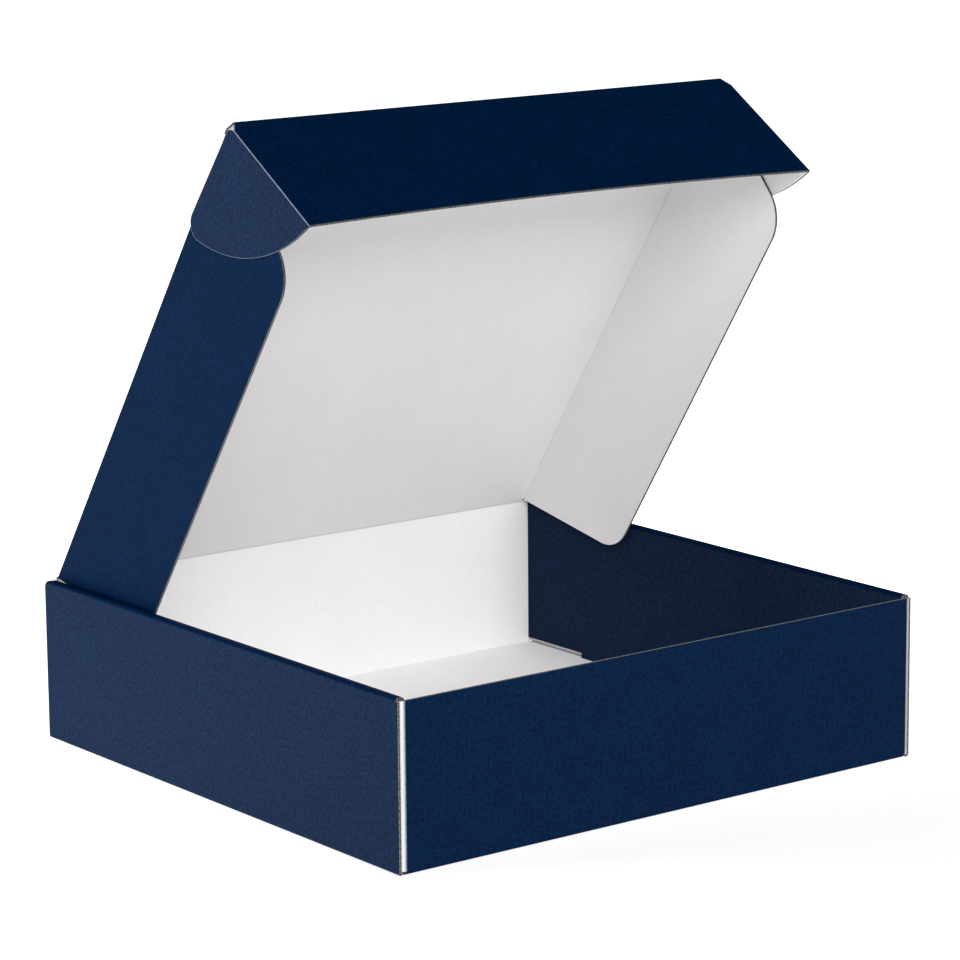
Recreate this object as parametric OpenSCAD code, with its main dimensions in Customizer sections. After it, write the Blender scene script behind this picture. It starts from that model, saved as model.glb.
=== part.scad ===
// Postal box for bottles laid flat, folded from one die-cut sheet of fine-flute corrugated board.
// The side walls roll over onto themselves and lock into the base; the lid is shown partly open.
// Origin at the middle of the base's underside: the front wall faces -Y, up is +Z. Millimetres.

/* [Board] */
// Thickness of the corrugated board
board_t = 1.4; // [1:0.1:2.5]
// Inside radius of a folded crease
fold_r = 0.4; // [0.2:0.1:1.2]
// Gap between board layers and beside a moving crease
gap = 0.3; // [0.2:0.1:0.6]

/* [Tray] */
// Width of the box, outside
tray_w = 350; // [250:1:500]
// Depth of the box, front to back, outside
tray_d = 335; // [250:1:500]
// Height of the box, outside
tray_h = 92; // [80:1:160]
// Width of the strip that rolls over the top of each side wall
strip_w = 5.4; // [5:0.1:9]
// Radius of the rear top corner of each side wall
wall_corner_r = 4.5; // [2:0.5:10]
// Length of the end tabs of the front and back walls, held inside the side walls
end_tab_l = 88; // [40:1:110]
// Taper cut off the free corners of an end tab
end_tab_taper = 7; // [2:1:20]

/* [Locks] */
// Length of a lock tab at the foot of an inner side panel
lock_l = 56; // [30:1:70]
// Distance from a wall to the nearer lock tab
lock_inset = 54; // [30:1:70]
// Height of the inner side panels' raw foot above the base
foot_h = 3; // [1:0.1:4]
// Clearance round a lock tab in its slot
slot_clear = 0.4; // [0.2:0.1:1]
// Corner radius of a lock tab
lock_r = 2; // [1:0.5:3]

/* [Lid] */
// Angle of the lid above its closed position
lid_open = 56; // [0:1:110]
// Clearance between a lock ear and the inner side panel
ear_clear = 0.4; // [0.3:0.1:1.5]
// Chamfer at the lid's front corners
lid_chamfer = 3; // [1:0.5:6]

/* [Tuck flap] */
// Height of the tuck flap
tuck_h = 85; // [50:1:87]
// Angle between the lid and the tuck flap
tuck_angle = 91.5; // [88:0.5:95]
// Rise of the tuck flap's free edge at its middle
tuck_bow = 3.5; // [0.5:0.5:8]
// Width of the cut at each top corner of the tuck flap
tuck_cut_w = 2.8; // [1:0.1:8]
// Height of the cut at each top corner of the tuck flap
tuck_cut_h = 7; // [4:0.5:14]

/* [Lock ears] */
// Reach of a lock ear, back from the tuck flap
ear_reach = 70; // [40:1:90]
// Radius of a lock ear's long rounded edge
ear_arc_r = 112; // [95:1:150]
// Radius of a lock ear's upper rear corner
ear_corner_r = 9; // [5:0.5:14]
// Depth of a lock ear's upper edge below the fold, at its front corner
ear_top = 2.7; // [1:0.1:6]
// Rise of that edge toward the rear
ear_rise = 4.6; // [0:0.1:6]
// Distance of that front corner from the fold line
ear_nose = 1.6; // [0.8:0.1:4]

/* [Side flaps] */
// Depth of a lid side flap, below the lid's outer face
flap_h = 85; // [50:1:86]
// Setback of a side flap's rear edge at its foot
flap_rear_slant = 36; // [10:1:60]
// Setback of a side flap's front edge at its foot
flap_front_slant = 24; // [10:1:60]
// Corner radius of a side flap
flap_r = 22; // [8:1:30]
// Distance from the hinge to the start of a side flap
flap_start = 1.5; // [1.2:0.1:10]
// Distance from a side flap's end to the front fold of the lid
flap_end = 8; // [6:0.5:20]

/* [Hidden] */

$fn = 48;
arc_steps = 12;
navy = "#10264a";
deep_navy = "#0b1d3c";
liner_white = "#e6e5e6";

half_t = board_t / 2;
bend_r = fold_r + board_t;
wall_h = tray_h - board_t - gap;
tab_x = board_t + gap;
corner_x = tab_x + bend_r;
foot_z = board_t + foot_h;
panel_x = strip_w - board_t;
panel_y = board_t + gap;

hinge_y = tray_d / 2 - half_t;
hinge_z = tray_h - half_t;
ear_x = strip_w + ear_clear;
lid_x = ear_x + board_t + gap;
lid_hw = tray_w / 2 - lid_x;
ear_axis_x = tray_w / 2 - ear_x - half_t;
tuck_lean = tuck_angle - 90;
tuck_clear = tuck_h * sin(max(tuck_lean, 0)) + gap;
lid_l = tray_d - 2 * board_t - tuck_clear;
knuckle_gap = half_t + gap;

// Points along an arc, end points included
function arc(centre, r, from, to) =
    [for (i = [0 : arc_steps]) let (a = from + (to - from) * i / arc_steps)
        centre + r * [cos(a), sin(a)]];

// The crossing of two circles that lies to the left of the line from p to q
function crossing(p, rp, q, rq) =
    let (d = norm(q - p), along = (rp * rp - rq * rq + d * d) / (2 * d),
         across = sqrt(rp * rp - along * along), e = (q - p) / d)
    p + along * e + across * [-e[1], e[0]];

// Direction of v in degrees
function heading(v) = atan2(v[1], v[0]);

// Arc that rounds the corner b of the outline a, b, c to radius r
function rounded(a, b, c, r) =
    let (u = (a - b) / norm(a - b), v = (c - b) / norm(c - b),
         half = acos(u * v) / 2,
         mid = (u + v) / norm(u + v),
         centre = b + mid * r / sin(half),
         from = heading(b + u * r / tan(half) - centre),
         to = heading(b + v * r / tan(half) - centre),
         turn = (to - from + 540) % 360 - 180)
    arc(centre, r, from, from + turn);

// Quarter ring of folded board round the origin, in the quadrant that starts at the given angle
module bend(angle) {
    rotate(angle) intersection() {
        difference() {
            circle(bend_r);
            circle(fold_r);
        }
        square(bend_r);
    }
}

// Extrudes a section drawn in X and Z along +Y
module along_y(from, to) {
    translate([0, to, 0]) rotate([90, 0, 0]) linear_extrude(to - from) children();
}

// Extrudes a section drawn in Y and Z along +X
module along_x(from, to) {
    translate([from, 0, 0]) rotate([90, 0, 90]) linear_extrude(to - from) children();
}

// Tray shapes are drawn from the box's front left corner

// Section of a side wall's outer panel, with its fold to the base
module outer_panel_section() {
    translate([bend_r, bend_r]) bend(180);
    translate([0, bend_r]) square([board_t, tray_h - 2 * bend_r]);
}

// Section of the two creases and the strip between them, on top of a side wall
module roll_over_section() {
    translate([bend_r, tray_h - bend_r]) bend(90);
    translate([bend_r, tray_h - board_t]) square([strip_w - 2 * bend_r, board_t]);
    translate([strip_w - bend_r, tray_h - bend_r]) bend(0);
}

// Side view of a side wall: square at the front, rounded at the rear top corner
module side_outline() {
    r = wall_corner_r;
    square([tray_d - r, tray_h]);
    square([tray_d, tray_h - r]);
    translate([tray_d - r, tray_h - r]) circle(r);
}

// One lock tab in side view, its rounded foot level with the slot
module lock_tab_outline(from) {
    top = foot_z + lock_r;
    translate([from, gap + lock_r]) square([lock_l, top - gap - lock_r]);
    translate([from + lock_r, gap]) square([lock_l - 2 * lock_r, lock_r]);
    for (y = [from + lock_r, from + lock_l - lock_r]) {
        translate([y, gap + lock_r]) circle(lock_r);
    }
}

// Where the two lock tabs of a side start
function lock_starts() = [lock_inset, tray_d - lock_inset - lock_l];

// Inner side panel in side view, with its lock tabs
module inner_panel_outline() {
    translate([panel_y, foot_z]) square([tray_d - 2 * panel_y, tray_h - bend_r - foot_z]);
    for (from = lock_starts()) lock_tab_outline(from);
}

// A whole left side wall
module side_wall() {
    intersection() {
        along_x(0, strip_w) side_outline();
        union() {
            along_y(0, tray_d) outer_panel_section();
            along_y(panel_y, tray_d - panel_y) roll_over_section();
        }
    }
    along_x(panel_x, strip_w) inner_panel_outline();
}

// End tab in side view, from the fold at a front corner
module end_tab_outline() {
    polygon([[bend_r, bend_r + gap], [end_tab_l - end_tab_taper, bend_r + gap],
             [end_tab_l, bend_r + gap + end_tab_taper], [end_tab_l, wall_h - end_tab_taper],
             [end_tab_l - end_tab_taper, wall_h], [bend_r, wall_h]]);
}

// Front wall with its fold to the base, its corner folds and its end tabs
module end_wall() {
    along_x(corner_x, tray_w - corner_x) {
        translate([bend_r, bend_r]) bend(180);
        translate([0, bend_r]) square([board_t, wall_h - bend_r]);
    }
    for (side = [0, 1]) {
        translate([side * tray_w, 0, 0]) mirror([side, 0, 0]) {
            translate([corner_x, bend_r, bend_r + gap])
                linear_extrude(wall_h - bend_r - gap) bend(180);
            along_x(tab_x, tab_x + board_t) end_tab_outline();
        }
    }
}

// Base panel with four slots for the lock tabs
module base_panel() {
    slot_w = board_t + 2 * slot_clear;
    slot_l = lock_l + 2 * slot_clear;
    difference() {
        translate([bend_r, bend_r, 0])
            cube([tray_w - 2 * bend_r, tray_d - 2 * bend_r, board_t]);
        for (x = [panel_x - slot_clear, tray_w - strip_w - slot_clear], from = lock_starts()) {
            translate([x, from - slot_clear, -1]) cube([slot_w, slot_l, board_t + 2]);
        }
    }
}

module tray() {
    color(navy) translate([-tray_w / 2, -tray_d / 2, 0]) {
        base_panel();
        side_wall();
        translate([tray_w, 0, 0]) mirror([1, 0, 0]) side_wall();
        end_wall();
        translate([0, tray_d, 0]) mirror([0, 1, 0]) end_wall();
    }
}

// Puts lid shapes in place. They are drawn closed, with the hinge on the X axis at mid-board,
// the lid reaching along -Y and its outer face up.
module on_hinge() {
    translate([0, hinge_y, hinge_z]) rotate([-lid_open, 0, 0]) children();
}

// Puts tuck flap shapes in place. They are drawn hanging along -Z from their fold on the X axis.
module on_front_fold() {
    on_hinge() translate([0, -lid_l, 0]) rotate([-tuck_lean, 0, 0]) children();
}

// Half of the lid's outline, from the hinge to the front fold
function lid_half() =
    let (front = -(lid_l - knuckle_gap), edge = lid_hw - board_t - gap,
         flap_from = -(flap_start - gap), flap_to = -(lid_l - flap_end + gap))
    [[lid_hw, 0], [lid_hw, flap_from], [edge, flap_from], [edge, flap_to], [lid_hw, flap_to],
     [lid_hw, front + lid_chamfer], [lid_hw - lid_chamfer, front]];

module lid() {
    half = lid_half();
    other = [for (i = [len(half) - 1 : -1 : 0]) [-half[i][0], half[i][1]]];
    color(liner_white) on_hinge() {
        translate([0, 0, -half_t]) linear_extrude(board_t) polygon(concat(half, other));
        translate([-lid_hw, 0, 0]) rotate([0, 90, 0]) cylinder(r = half_t, h = 2 * lid_hw);
    }
}

// Half of the tuck flap's outline: width across, depth down from the fold
function tuck_half() =
    let (top = lid_hw - tuck_cut_w)
    concat([[top, 0], [lid_hw, tuck_cut_h]],
           [for (i = [arc_steps : -1 : 0]) let (x = i / arc_steps)
               [lid_hw * x, tuck_h - tuck_bow * (1 - x * x)]]);

module tuck_flap() {
    half = tuck_half();
    other = [for (i = [len(half) - 2 : -1 : 0]) [-half[i][0], half[i][1]]];
    top = lid_hw - tuck_cut_w;
    color(deep_navy) on_front_fold() {
        translate([0, half_t, 0]) rotate([-90, 0, 0]) mirror([0, 0, 1])
            linear_extrude(board_t) polygon(concat(half, other));
        translate([-top, 0, 0]) rotate([0, 90, 0]) cylinder(r = half_t, h = 2 * top);
    }
}

// A lock ear's outline: reach back from the fold, depth down along it.
// Its long edge is one arc from the foot of the fold, tangent to the round upper corner.
function ear_outline() =
    let (foot = [0, tuck_h],
         corner = [ear_reach - ear_corner_r, ear_top - ear_rise + ear_corner_r],
         centre = crossing(corner, ear_arc_r - ear_corner_r, foot, ear_arc_r),
         touch = heading(corner - centre))
    concat([[0, tuck_cut_h], [ear_nose, ear_top]],
           arc(corner, ear_corner_r, -90, touch),
           arc(centre, ear_arc_r, touch, heading(foot - centre)));

// A left lock ear, folded back beside the lid
module lock_ear() {
    outline = ear_outline();
    on_front_fold() translate([-ear_axis_x, 0, 0]) {
        along_x(-half_t, half_t) mirror([0, 1]) polygon(outline);
        translate([0, 0, -tuck_h]) cylinder(r = half_t, h = tuck_h - tuck_cut_h);
    }
}

module lock_ear_left() {
    color(navy) lock_ear();
}

module lock_ear_right() {
    color(navy) mirror([1, 0, 0]) lock_ear();
}

// A side flap's outline: distance from the hinge, depth below the lid's inner face
function flap_outline() =
    let (h = flap_h - board_t, rear = flap_start, front = lid_l - flap_end,
         a = [rear, 0], b = [rear + flap_rear_slant, h], c = [front - flap_front_slant, h],
         d = [front, 0])
    concat([a], rounded(a, b, c, flap_r), rounded(b, c, d, flap_r), [d]);

// A left side flap. Its fold turns about the lid's inner edge, so its outer corner is a quarter round.
module side_flap() {
    on_hinge() translate([-lid_hw + board_t, 0, -half_t]) {
        along_x(-board_t, 0) mirror([1, 0]) mirror([0, 1]) polygon(flap_outline());
        translate([0, -flap_start, 0]) rotate([90, 0, 0]) linear_extrude(lid_l - flap_end - flap_start)
            intersection() {
                circle(board_t);
                translate([-board_t, 0]) square(board_t);
            }
    }
}

module side_flap_left() {
    color(navy) side_flap();
}

module side_flap_right() {
    color(navy) mirror([1, 0, 0]) side_flap();
}

tray();
lid();
tuck_flap();
lock_ear_left();
lock_ear_right();
side_flap_left();
side_flap_right();
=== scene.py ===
"""A bottle shipping box of fine-flute board, printed dark blue outside and white inside.

Every panel is built as the board is: a printed liner, a fluted sheet and a white liner.
Outlines are drawn flat, as on the die-cut sheet, and then folded into place.
"""

import math

import bmesh
import bpy
import numpy as np
from mathutils import Matrix, Vector


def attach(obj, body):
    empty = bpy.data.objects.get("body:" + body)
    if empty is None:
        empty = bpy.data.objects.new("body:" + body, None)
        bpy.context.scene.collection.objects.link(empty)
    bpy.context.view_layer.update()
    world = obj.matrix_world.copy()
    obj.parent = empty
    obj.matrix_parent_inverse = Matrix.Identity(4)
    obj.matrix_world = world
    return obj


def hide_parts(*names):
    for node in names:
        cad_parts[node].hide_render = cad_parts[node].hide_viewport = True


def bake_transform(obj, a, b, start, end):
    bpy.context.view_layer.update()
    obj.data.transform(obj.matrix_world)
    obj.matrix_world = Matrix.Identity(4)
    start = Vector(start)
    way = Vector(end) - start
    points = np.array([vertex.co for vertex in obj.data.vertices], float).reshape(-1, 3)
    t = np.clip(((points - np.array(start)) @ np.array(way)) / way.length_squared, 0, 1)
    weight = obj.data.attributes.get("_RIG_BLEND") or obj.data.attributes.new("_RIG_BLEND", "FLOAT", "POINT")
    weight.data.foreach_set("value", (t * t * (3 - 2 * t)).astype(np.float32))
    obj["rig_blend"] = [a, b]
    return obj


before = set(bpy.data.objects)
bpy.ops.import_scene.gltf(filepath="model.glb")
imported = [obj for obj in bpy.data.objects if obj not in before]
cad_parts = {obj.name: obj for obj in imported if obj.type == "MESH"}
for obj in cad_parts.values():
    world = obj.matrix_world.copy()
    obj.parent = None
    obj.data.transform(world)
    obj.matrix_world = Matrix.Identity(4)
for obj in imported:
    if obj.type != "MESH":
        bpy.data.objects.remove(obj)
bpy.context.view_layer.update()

# Sizes are in millimetres and go into the meshes in metres.
MM = 0.001
QUARTER = math.pi / 2

# Board: thickness, papers and flutes.
BOARD = 1.4
LINER = 0.2
FLUTE_PAPER = 0.16
FLUTE_PITCH = 3.6
FLUTE_STEPS = 8
HALF = BOARD / 2

# Tray, as in the part's own sizes.
WIDTH, DEPTH, HEIGHT = 350.0, 335.0, 92.0
GAP = 0.3
FOLD_IN = 0.4
FOLD_OUT = FOLD_IN + BOARD
STRIP = 5.4
WALL_TOP = HEIGHT - BOARD - GAP
REAR_CORNER = 4.5
END_TAB, END_TAPER = 88.0, 7.0
LOCK_LENGTH, LOCK_INSET, LOCK_RADIUS = 56.0, 54.0, 2.0
FOOT = 4.4
SLOT_CLEAR = 0.4

# The print on the front and back walls: how far in from their left and right corner folds it
# starts and ends, below 0 where it runs onto the fold, and how soft its edges are.
PRINT_START, PRINT_END = 0.5, -1.2
PRINT_FADE = 1.8

# The lip where the printed liner was die-cut: its width, and how much paler it is painted, as scuffed print
# and a painted edge highlight.
LIP = 0.3
LIP_RUB_AND_HIGHLIGHT, EAR_LIP_RUB_AND_HIGHLIGHT = 0.04, 0.35

# How scuffed the print is along a crease, and how much painted shade darkens a crease inside.
CREASE_RUB, EAR_CREASE_RUB = 0.03, 0.5
CREASE_SHADE, WALL_CREASE_SHADE = 0.7, 0.5

# How much painted sheen, a reflection painted in as paler print, lies on the side walls, front and back
# walls, ears and side flaps.
SIDE_PAINTED_SHEEN, WALL_PAINTED_SHEEN, EAR_PAINTED_SHEEN, FLAP_PAINTED_SHEEN = 0.014, 0.004, 0.013, 0.001

# Lid and its flaps.
LID_OPEN = math.radians(56)
TUCK_LEAN = math.radians(1.5)
TUCK = 85.0
TUCK_BOW = 3.5
TUCK_CUT_WIDTH, TUCK_CUT_HEIGHT = 2.8, 7.0
LID_HALF = 167.5
LID_LENGTH = DEPTH - 2 * BOARD - (TUCK * math.sin(TUCK_LEAN) + GAP)
CHAMFER = 3.0
HINGE = Vector((0, DEPTH / 2 - HALF, HEIGHT - HALF))
EAR_X = WIDTH / 2 - STRIP - SLOT_CLEAR - HALF
EAR_REACH, EAR_ARC, EAR_CORNER = 70.0, 112.0, 9.0
EAR_TOP, EAR_RISE, EAR_NOSE = 2.7, 4.6, 1.6
FLAP = 85.0
FLAP_REAR, FLAP_FRONT, FLAP_RADIUS = 36.0, 24.0, 22.0
FLAP_START, FLAP_END = 1.5, 8.0

# Creases that move: their inner radius, how far their strip of board reaches on each side of the
# fold, or how long it stays flat there, and where their bend starts and ends, as a share of that
# reach or in millimetres.
HINGE_FOLD_IN = 2.3
HINGE_REACH = 2.0
EAR_FLAT = 1.1
FLAP_FOLD_IN = 0.25
FLAP_FLAT = 1.5
BLEND_SHARE, FLAP_BLEND = 0.6, 1.2

# How finely curves are drawn, in steps, and how near two places on the sheet count as one.
ARC_STEPS, LONG_ARC_STEPS, LOCK_STEPS, REAR_STEPS = 12, 24, 5, 6
NEAR, SAME = 0.01, 1e-5

X, Y, Z = Vector((1, 0, 0)), Vector((0, 1, 0)), Vector((0, 0, 1))
LID_ALONG = Vector((0, -math.cos(LID_OPEN), math.sin(LID_OPEN)))
LID_IN = Vector((0, -math.sin(LID_OPEN), -math.cos(LID_OPEN)))
TUCK_ANGLE = LID_OPEN + TUCK_LEAN
TUCK_DOWN = Vector((0, -math.sin(TUCK_ANGLE), -math.cos(TUCK_ANGLE)))
TUCK_IN = Vector((0, math.cos(TUCK_ANGLE), -math.sin(TUCK_ANGLE)))
TUCK_FOLD = HINGE + LID_LENGTH * LID_ALONG


# Node trees


class Value:
    """A number from a node. Sums with it add Math nodes."""

    def __init__(self, tree, socket):
        self.tree, self.socket = tree, socket

    def _math(self, operation, *others):
        values = dict(enumerate(others))
        return self.tree.node("ShaderNodeMath", {"operation": operation}, values)

    def __add__(self, other):
        return self._math("ADD", self, other)

    def __radd__(self, other):
        return self._math("ADD", other, self)

    def __sub__(self, other):
        return self._math("SUBTRACT", self, other)

    def __rsub__(self, other):
        return self._math("SUBTRACT", other, self)

    def __mul__(self, other):
        return self._math("MULTIPLY", self, other)

    def __rmul__(self, other):
        return self._math("MULTIPLY", other, self)

    def __truediv__(self, other):
        return self._math("DIVIDE", self, other)

    def cos(self):
        return self._math("COSINE", self)

    def ceil(self):
        return self._math("CEIL", self)

    def clamp(self):
        return self.tree.node("ShaderNodeClamp", {}, {"Value": self})


class Tree:
    """A node tree, with one way to add any node."""

    def __init__(self, tree):
        self.tree = tree

    def node(self, kind, settings, inputs, output=0):
        """Adds a node, sets its settings first and then its inputs, and gives one output."""
        made = self.tree.nodes.new(kind)
        for name, value in settings.items():
            if name == "stops":
                self._stops(made.color_ramp, value)
            else:
                setattr(made, name, value)
        for name, value in inputs.items():
            self.feed(made.inputs[name], value)
        return Value(self, made.outputs[output]) if made.outputs else None

    def feed(self, socket, value):
        if isinstance(value, (list, tuple)) and isinstance(value[0], Value):
            for one in value:
                self.tree.links.new(one.socket, socket)
        elif isinstance(value, Value):
            self.tree.links.new(value.socket, socket)
        else:
            socket.default_value = value

    @staticmethod
    def _stops(ramp, stops):
        while len(ramp.elements) < len(stops):
            ramp.elements.new(1.0)
        for element, (place, grey) in zip(ramp.elements, stops):
            element.position = place
            element.color = (grey, grey, grey, 1)

    def noise(self, place, scale, detail=2.0, rough=0.5):
        return self.node(
            "ShaderNodeTexNoise",
            {"noise_dimensions": "2D"},
            {"Vector": place, "Scale": scale, "Detail": detail, "Roughness": rough},
        )

    def mix(self, factor, first, second):
        """A colour between two colours."""
        return self.node(
            "ShaderNodeMix",
            {"data_type": "RGBA"},
            {"Factor": factor, 6: first, 7: second},
            output=2,
        )


# Finishes


# Linear colours: print, lining and cut papers.
INK_DEEP, INK_LIGHT = (0.0002, 0.0076, 0.0305, 1), (0.0003, 0.0108, 0.0410, 1)
INK_GRAIN, INK_SPECK = (0.0010, 0.021, 0.070, 1), (0.0001, 0.0040, 0.0175, 1)
# The pale blue-grey serves painted sheen and scuffed print alike; the grey-white is unprinted paper.
INK_SHEEN_AND_WEAR, INK_BARE = (0.52, 0.61, 0.75, 1), (0.68, 0.67, 0.66, 1)
LINING_DEEP, LINING_LIGHT = (0.810, 0.796, 0.801, 1), (0.855, 0.841, 0.846, 1)
# The dark grey is painted shade for the lines inside creases.
LINING_GRAIN, LINING_CREASE_SHADE = (0.720, 0.706, 0.710, 1), (0.30, 0.29, 0.29, 1)
# The first cut pair is painted nearly black: painted shade for cut edges that face away from the light. The
# wall ends' pair is the same cut paper without it.
SHADED_EDGE_DARK, SHADED_EDGE_LIGHT = (0.02, 0.022, 0.028, 1), (0.11, 0.115, 0.13, 1)
WALL_END_DARK, WALL_END_LIGHT = (0.10, 0.098, 0.096, 1), (0.62, 0.61, 0.60, 1)
FLUTE_DARK, FLUTE_LIGHT = (0.15, 0.143, 0.136, 1), (0.23, 0.22, 0.21, 1)

# Scales of the noises, per millimetre, and depth of the washboard in metres.
THREAD, THREAD_RUN = 2.4, 0.09
INK_CLOUD, LINING_CLOUD, SPOTS, FIBRES = 0.035, 0.02, 0.5, 1.6
RELIEF = 0.000012


def paper_finish(name, make):
    """A material on the sheet's own flat map, in millimetres: across the flutes, then along."""
    material = bpy.data.materials.new(name)
    material.use_nodes = True
    material.node_tree.nodes.clear()
    tree = Tree(material.node_tree)
    sheet = tree.node("ShaderNodeUVMap", {"uv_map": "sheet"}, {})
    values = make(tree, sheet)
    bump = values.pop("bump", None)
    if bump is not None:
        height, depth = bump
        values["Normal"] = tree.node(
            "ShaderNodeBump", {}, {"Height": height, "Strength": 1.0, "Distance": depth}
        )
    surface = tree.node("ShaderNodeBsdfPrincipled", {}, values)
    tree.node("ShaderNodeOutputMaterial", {}, {"Surface": surface})
    return material


def scaled(tree, sheet, across, along):
    """The sheet's map with its own scale each way."""
    sizes = {"Vector": sheet, "Scale": (across, along, 1)}
    return tree.node("ShaderNodeMapping", {"vector_type": "POINT"}, sizes)


def linen(tree, sheet):
    """The crossed fine grain that the calendered liner shows, about 0 to 1."""
    down = tree.noise(scaled(tree, sheet, THREAD, THREAD_RUN), 1.0, 1.0)
    over = tree.noise(scaled(tree, sheet, THREAD_RUN, THREAD), 1.0, 1.0)
    return (down + over) * 0.5


def washboard(tree, sheet):
    """Flutes that show faintly through the liner."""
    across = tree.node("ShaderNodeSeparateXYZ", {}, {"Vector": sheet})
    return (across * (2 * math.pi / FLUTE_PITCH)).cos()


def wear_and_painted_light_at(tree):
    """How far each place of the sheet is marked, from 0 to 1: unprinted and scuffed print, painted sheen and
    painted edge highlights on the print, and painted shade in the lining's creases and lips.
    """
    return tree.node("ShaderNodeAttribute", {"attribute_name": "worn"}, {}, output=2)


def blue_print(tree, sheet):
    """Dark blue ink with clouds, grain and dark specks, paler where it is scuffed, and where painted sheen
    and painted edge highlights are laid on.
    """
    grain = linen(tree, sheet)
    cloud = tree.noise(sheet, INK_CLOUD, 2.0)
    spots = tree.noise(sheet, SPOTS, 3.0, 0.6)
    stops = [(0.34, 0.0), (0.54, 1.0)]
    between_specks = tree.node("ShaderNodeValToRGB", {"stops": stops}, {"Fac": spots})
    ink = tree.mix(cloud, INK_DEEP, INK_LIGHT)
    ink = tree.mix((grain - 0.42).clamp() * 1.8, ink, INK_GRAIN)
    ink = tree.mix((1 - between_specks) * 0.6, ink, INK_SPECK)
    # Painted light: low values of this attribute are painted sheen and painted edge highlights, mixed
    # towards the pale blue-grey and mottled; high values are scuffed and unprinted print.
    worn = wear_and_painted_light_at(tree)
    mottle = (spots - 0.5) * 1.5 * (1 - worn) + 1
    sheen_to_bare = tree.mix(worn, INK_SHEEN_AND_WEAR, INK_BARE)
    ink = tree.mix((worn * mottle).clamp(), ink, sheen_to_bare)
    rough = 0.42 + grain * 0.14
    relief = washboard(tree, sheet)
    gloss = {"Specular IOR Level": 0.01}
    return {"Base Color": ink, "Roughness": rough, "bump": (relief, RELIEF), **gloss}


def white_lining(tree, sheet):
    """White paper with clouds and grain, with painted shade in the creases and along the cut lips."""
    grain = linen(tree, sheet)
    cloud = tree.noise(sheet, LINING_CLOUD, 3.0)
    paper = tree.mix(cloud, LINING_DEEP, LINING_LIGHT)
    paper = tree.mix((grain - 0.4).clamp() * 1.2, paper, LINING_GRAIN)
    # Painted shade: creases and cut lips painted darker grey.
    paper = tree.mix(wear_and_painted_light_at(tree), paper, LINING_CREASE_SHADE)
    rough = 0.62 + grain * 0.2
    return {"Base Color": paper, "Roughness": rough, "bump": (washboard(tree, sheet), RELIEF)}


def cut_edge(dark, light):
    """The cut papers, with fibres from dark to light."""

    def make(tree, sheet):
        fibres = ((tree.noise(sheet, FIBRES, 2.0) - 0.46) * 5).clamp()
        return {"Base Color": tree.mix(fibres, dark, light), "Roughness": 0.9}

    return make


def flute_paper(tree, sheet):
    paper = tree.mix(tree.noise(sheet, FIBRES, 3.0), FLUTE_DARK, FLUTE_LIGHT)
    return {"Base Color": paper, "Roughness": 0.9}


PRINT = paper_finish("dark blue print", blue_print)
WHITE = paper_finish("white lining", white_lining)
# Cut edges painted nearly black as painted shade; the wall ends keep the cut paper's own colour.
SHADED_EDGE = paper_finish("cut paper edge with painted shade", cut_edge(SHADED_EDGE_DARK, SHADED_EDGE_LIGHT))
WALL_END = paper_finish("cut wall end", cut_edge(WALL_END_DARK, WALL_END_LIGHT))
FLUTE = paper_finish("flute paper", flute_paper)
FINISHES = [PRINT, WHITE, SHADED_EDGE, WALL_END, FLUTE]


# Folding


def ahead(heading):
    return Vector((math.cos(heading), math.sin(heading)))


def leftward(heading):
    return Vector((-math.sin(heading), math.cos(heading)))


class Folded:
    """Board seen end on: flats and left-hand bends of its middle line, with the white side on
    the left. at() takes a place on the flat sheet and a depth below the printed face."""

    BEND_STEPS = 8

    def __init__(self, start, heading, runs, across, up, along, origin=Vector()):
        self.axes = (across, up, along)
        self.origin = origin
        self.parts = []
        place, length = Vector(start), 0.0
        for size, turn in runs:
            radius = size + HALF if turn else 0.0
            run = radius * turn if turn else size
            self.parts.append((length, run, place.copy(), heading, radius, turn))
            if turn:
                centre = place + radius * leftward(heading)
                heading += turn
                place = centre - radius * leftward(heading)
            else:
                place = place + size * ahead(heading)
            length += run
        self.length = length

    def mark(self, index):
        """Where a part of the line starts on the flat sheet."""
        return self.parts[index][0] if index < len(self.parts) else self.length

    def _part(self, s):
        """The flat or bend that a place on the sheet lies in."""
        begun = [p for p in self.parts if p[0] <= s + 1e-6]
        return max(begun, key=lambda p: p[0], default=self.parts[0])

    def at(self, s, t, depth):
        start, _, place, heading, radius, turn = self._part(s)
        if turn:
            swept = heading + (s - start) / radius
            centre = place + radius * leftward(heading)
            p, q = centre - (radius + HALF - depth) * leftward(swept)
        else:
            p, q = place + (s - start) * ahead(heading) + (depth - HALF) * leftward(heading)
        across, up, along = self.axes
        return self.origin + p * across + q * up + t * along

    def cuts(self):
        """Places across the sheet where its folds need an edge."""
        found = []
        for start, run, _, _, _, turn in self.parts:
            steps = max(1, round(self.BEND_STEPS * turn / QUARTER)) if turn else 1
            found += [start + run * i / steps for i in range(steps + 1)]
        return sorted(set(round(s, 6) for s in found))

    def bend_middle_mark(self, most, narrow=40):
        """A mark along the middle of the bends, most at the very middle; narrow sets how thin. It gives the
        print's crease scuffing, and the line of painted shade inside a crease.
        """

        def worn(s, t):
            start, run, _, _, _, turn = self._part(s)
            return most * math.sin(math.pi * (s - start) / run) ** narrow if turn else 0.0

        return worn


class Level:
    """A flat panel: at() takes a place on it and a depth below the printed face."""

    def __init__(self, origin, across, along, inward):
        self.origin, self.axes = origin, (across, along, inward)

    def at(self, s, t, depth):
        across, along, inward = self.axes
        return self.origin + s * across + t * along + depth * inward

    def cuts(self):
        return []


# Flat outlines


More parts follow.
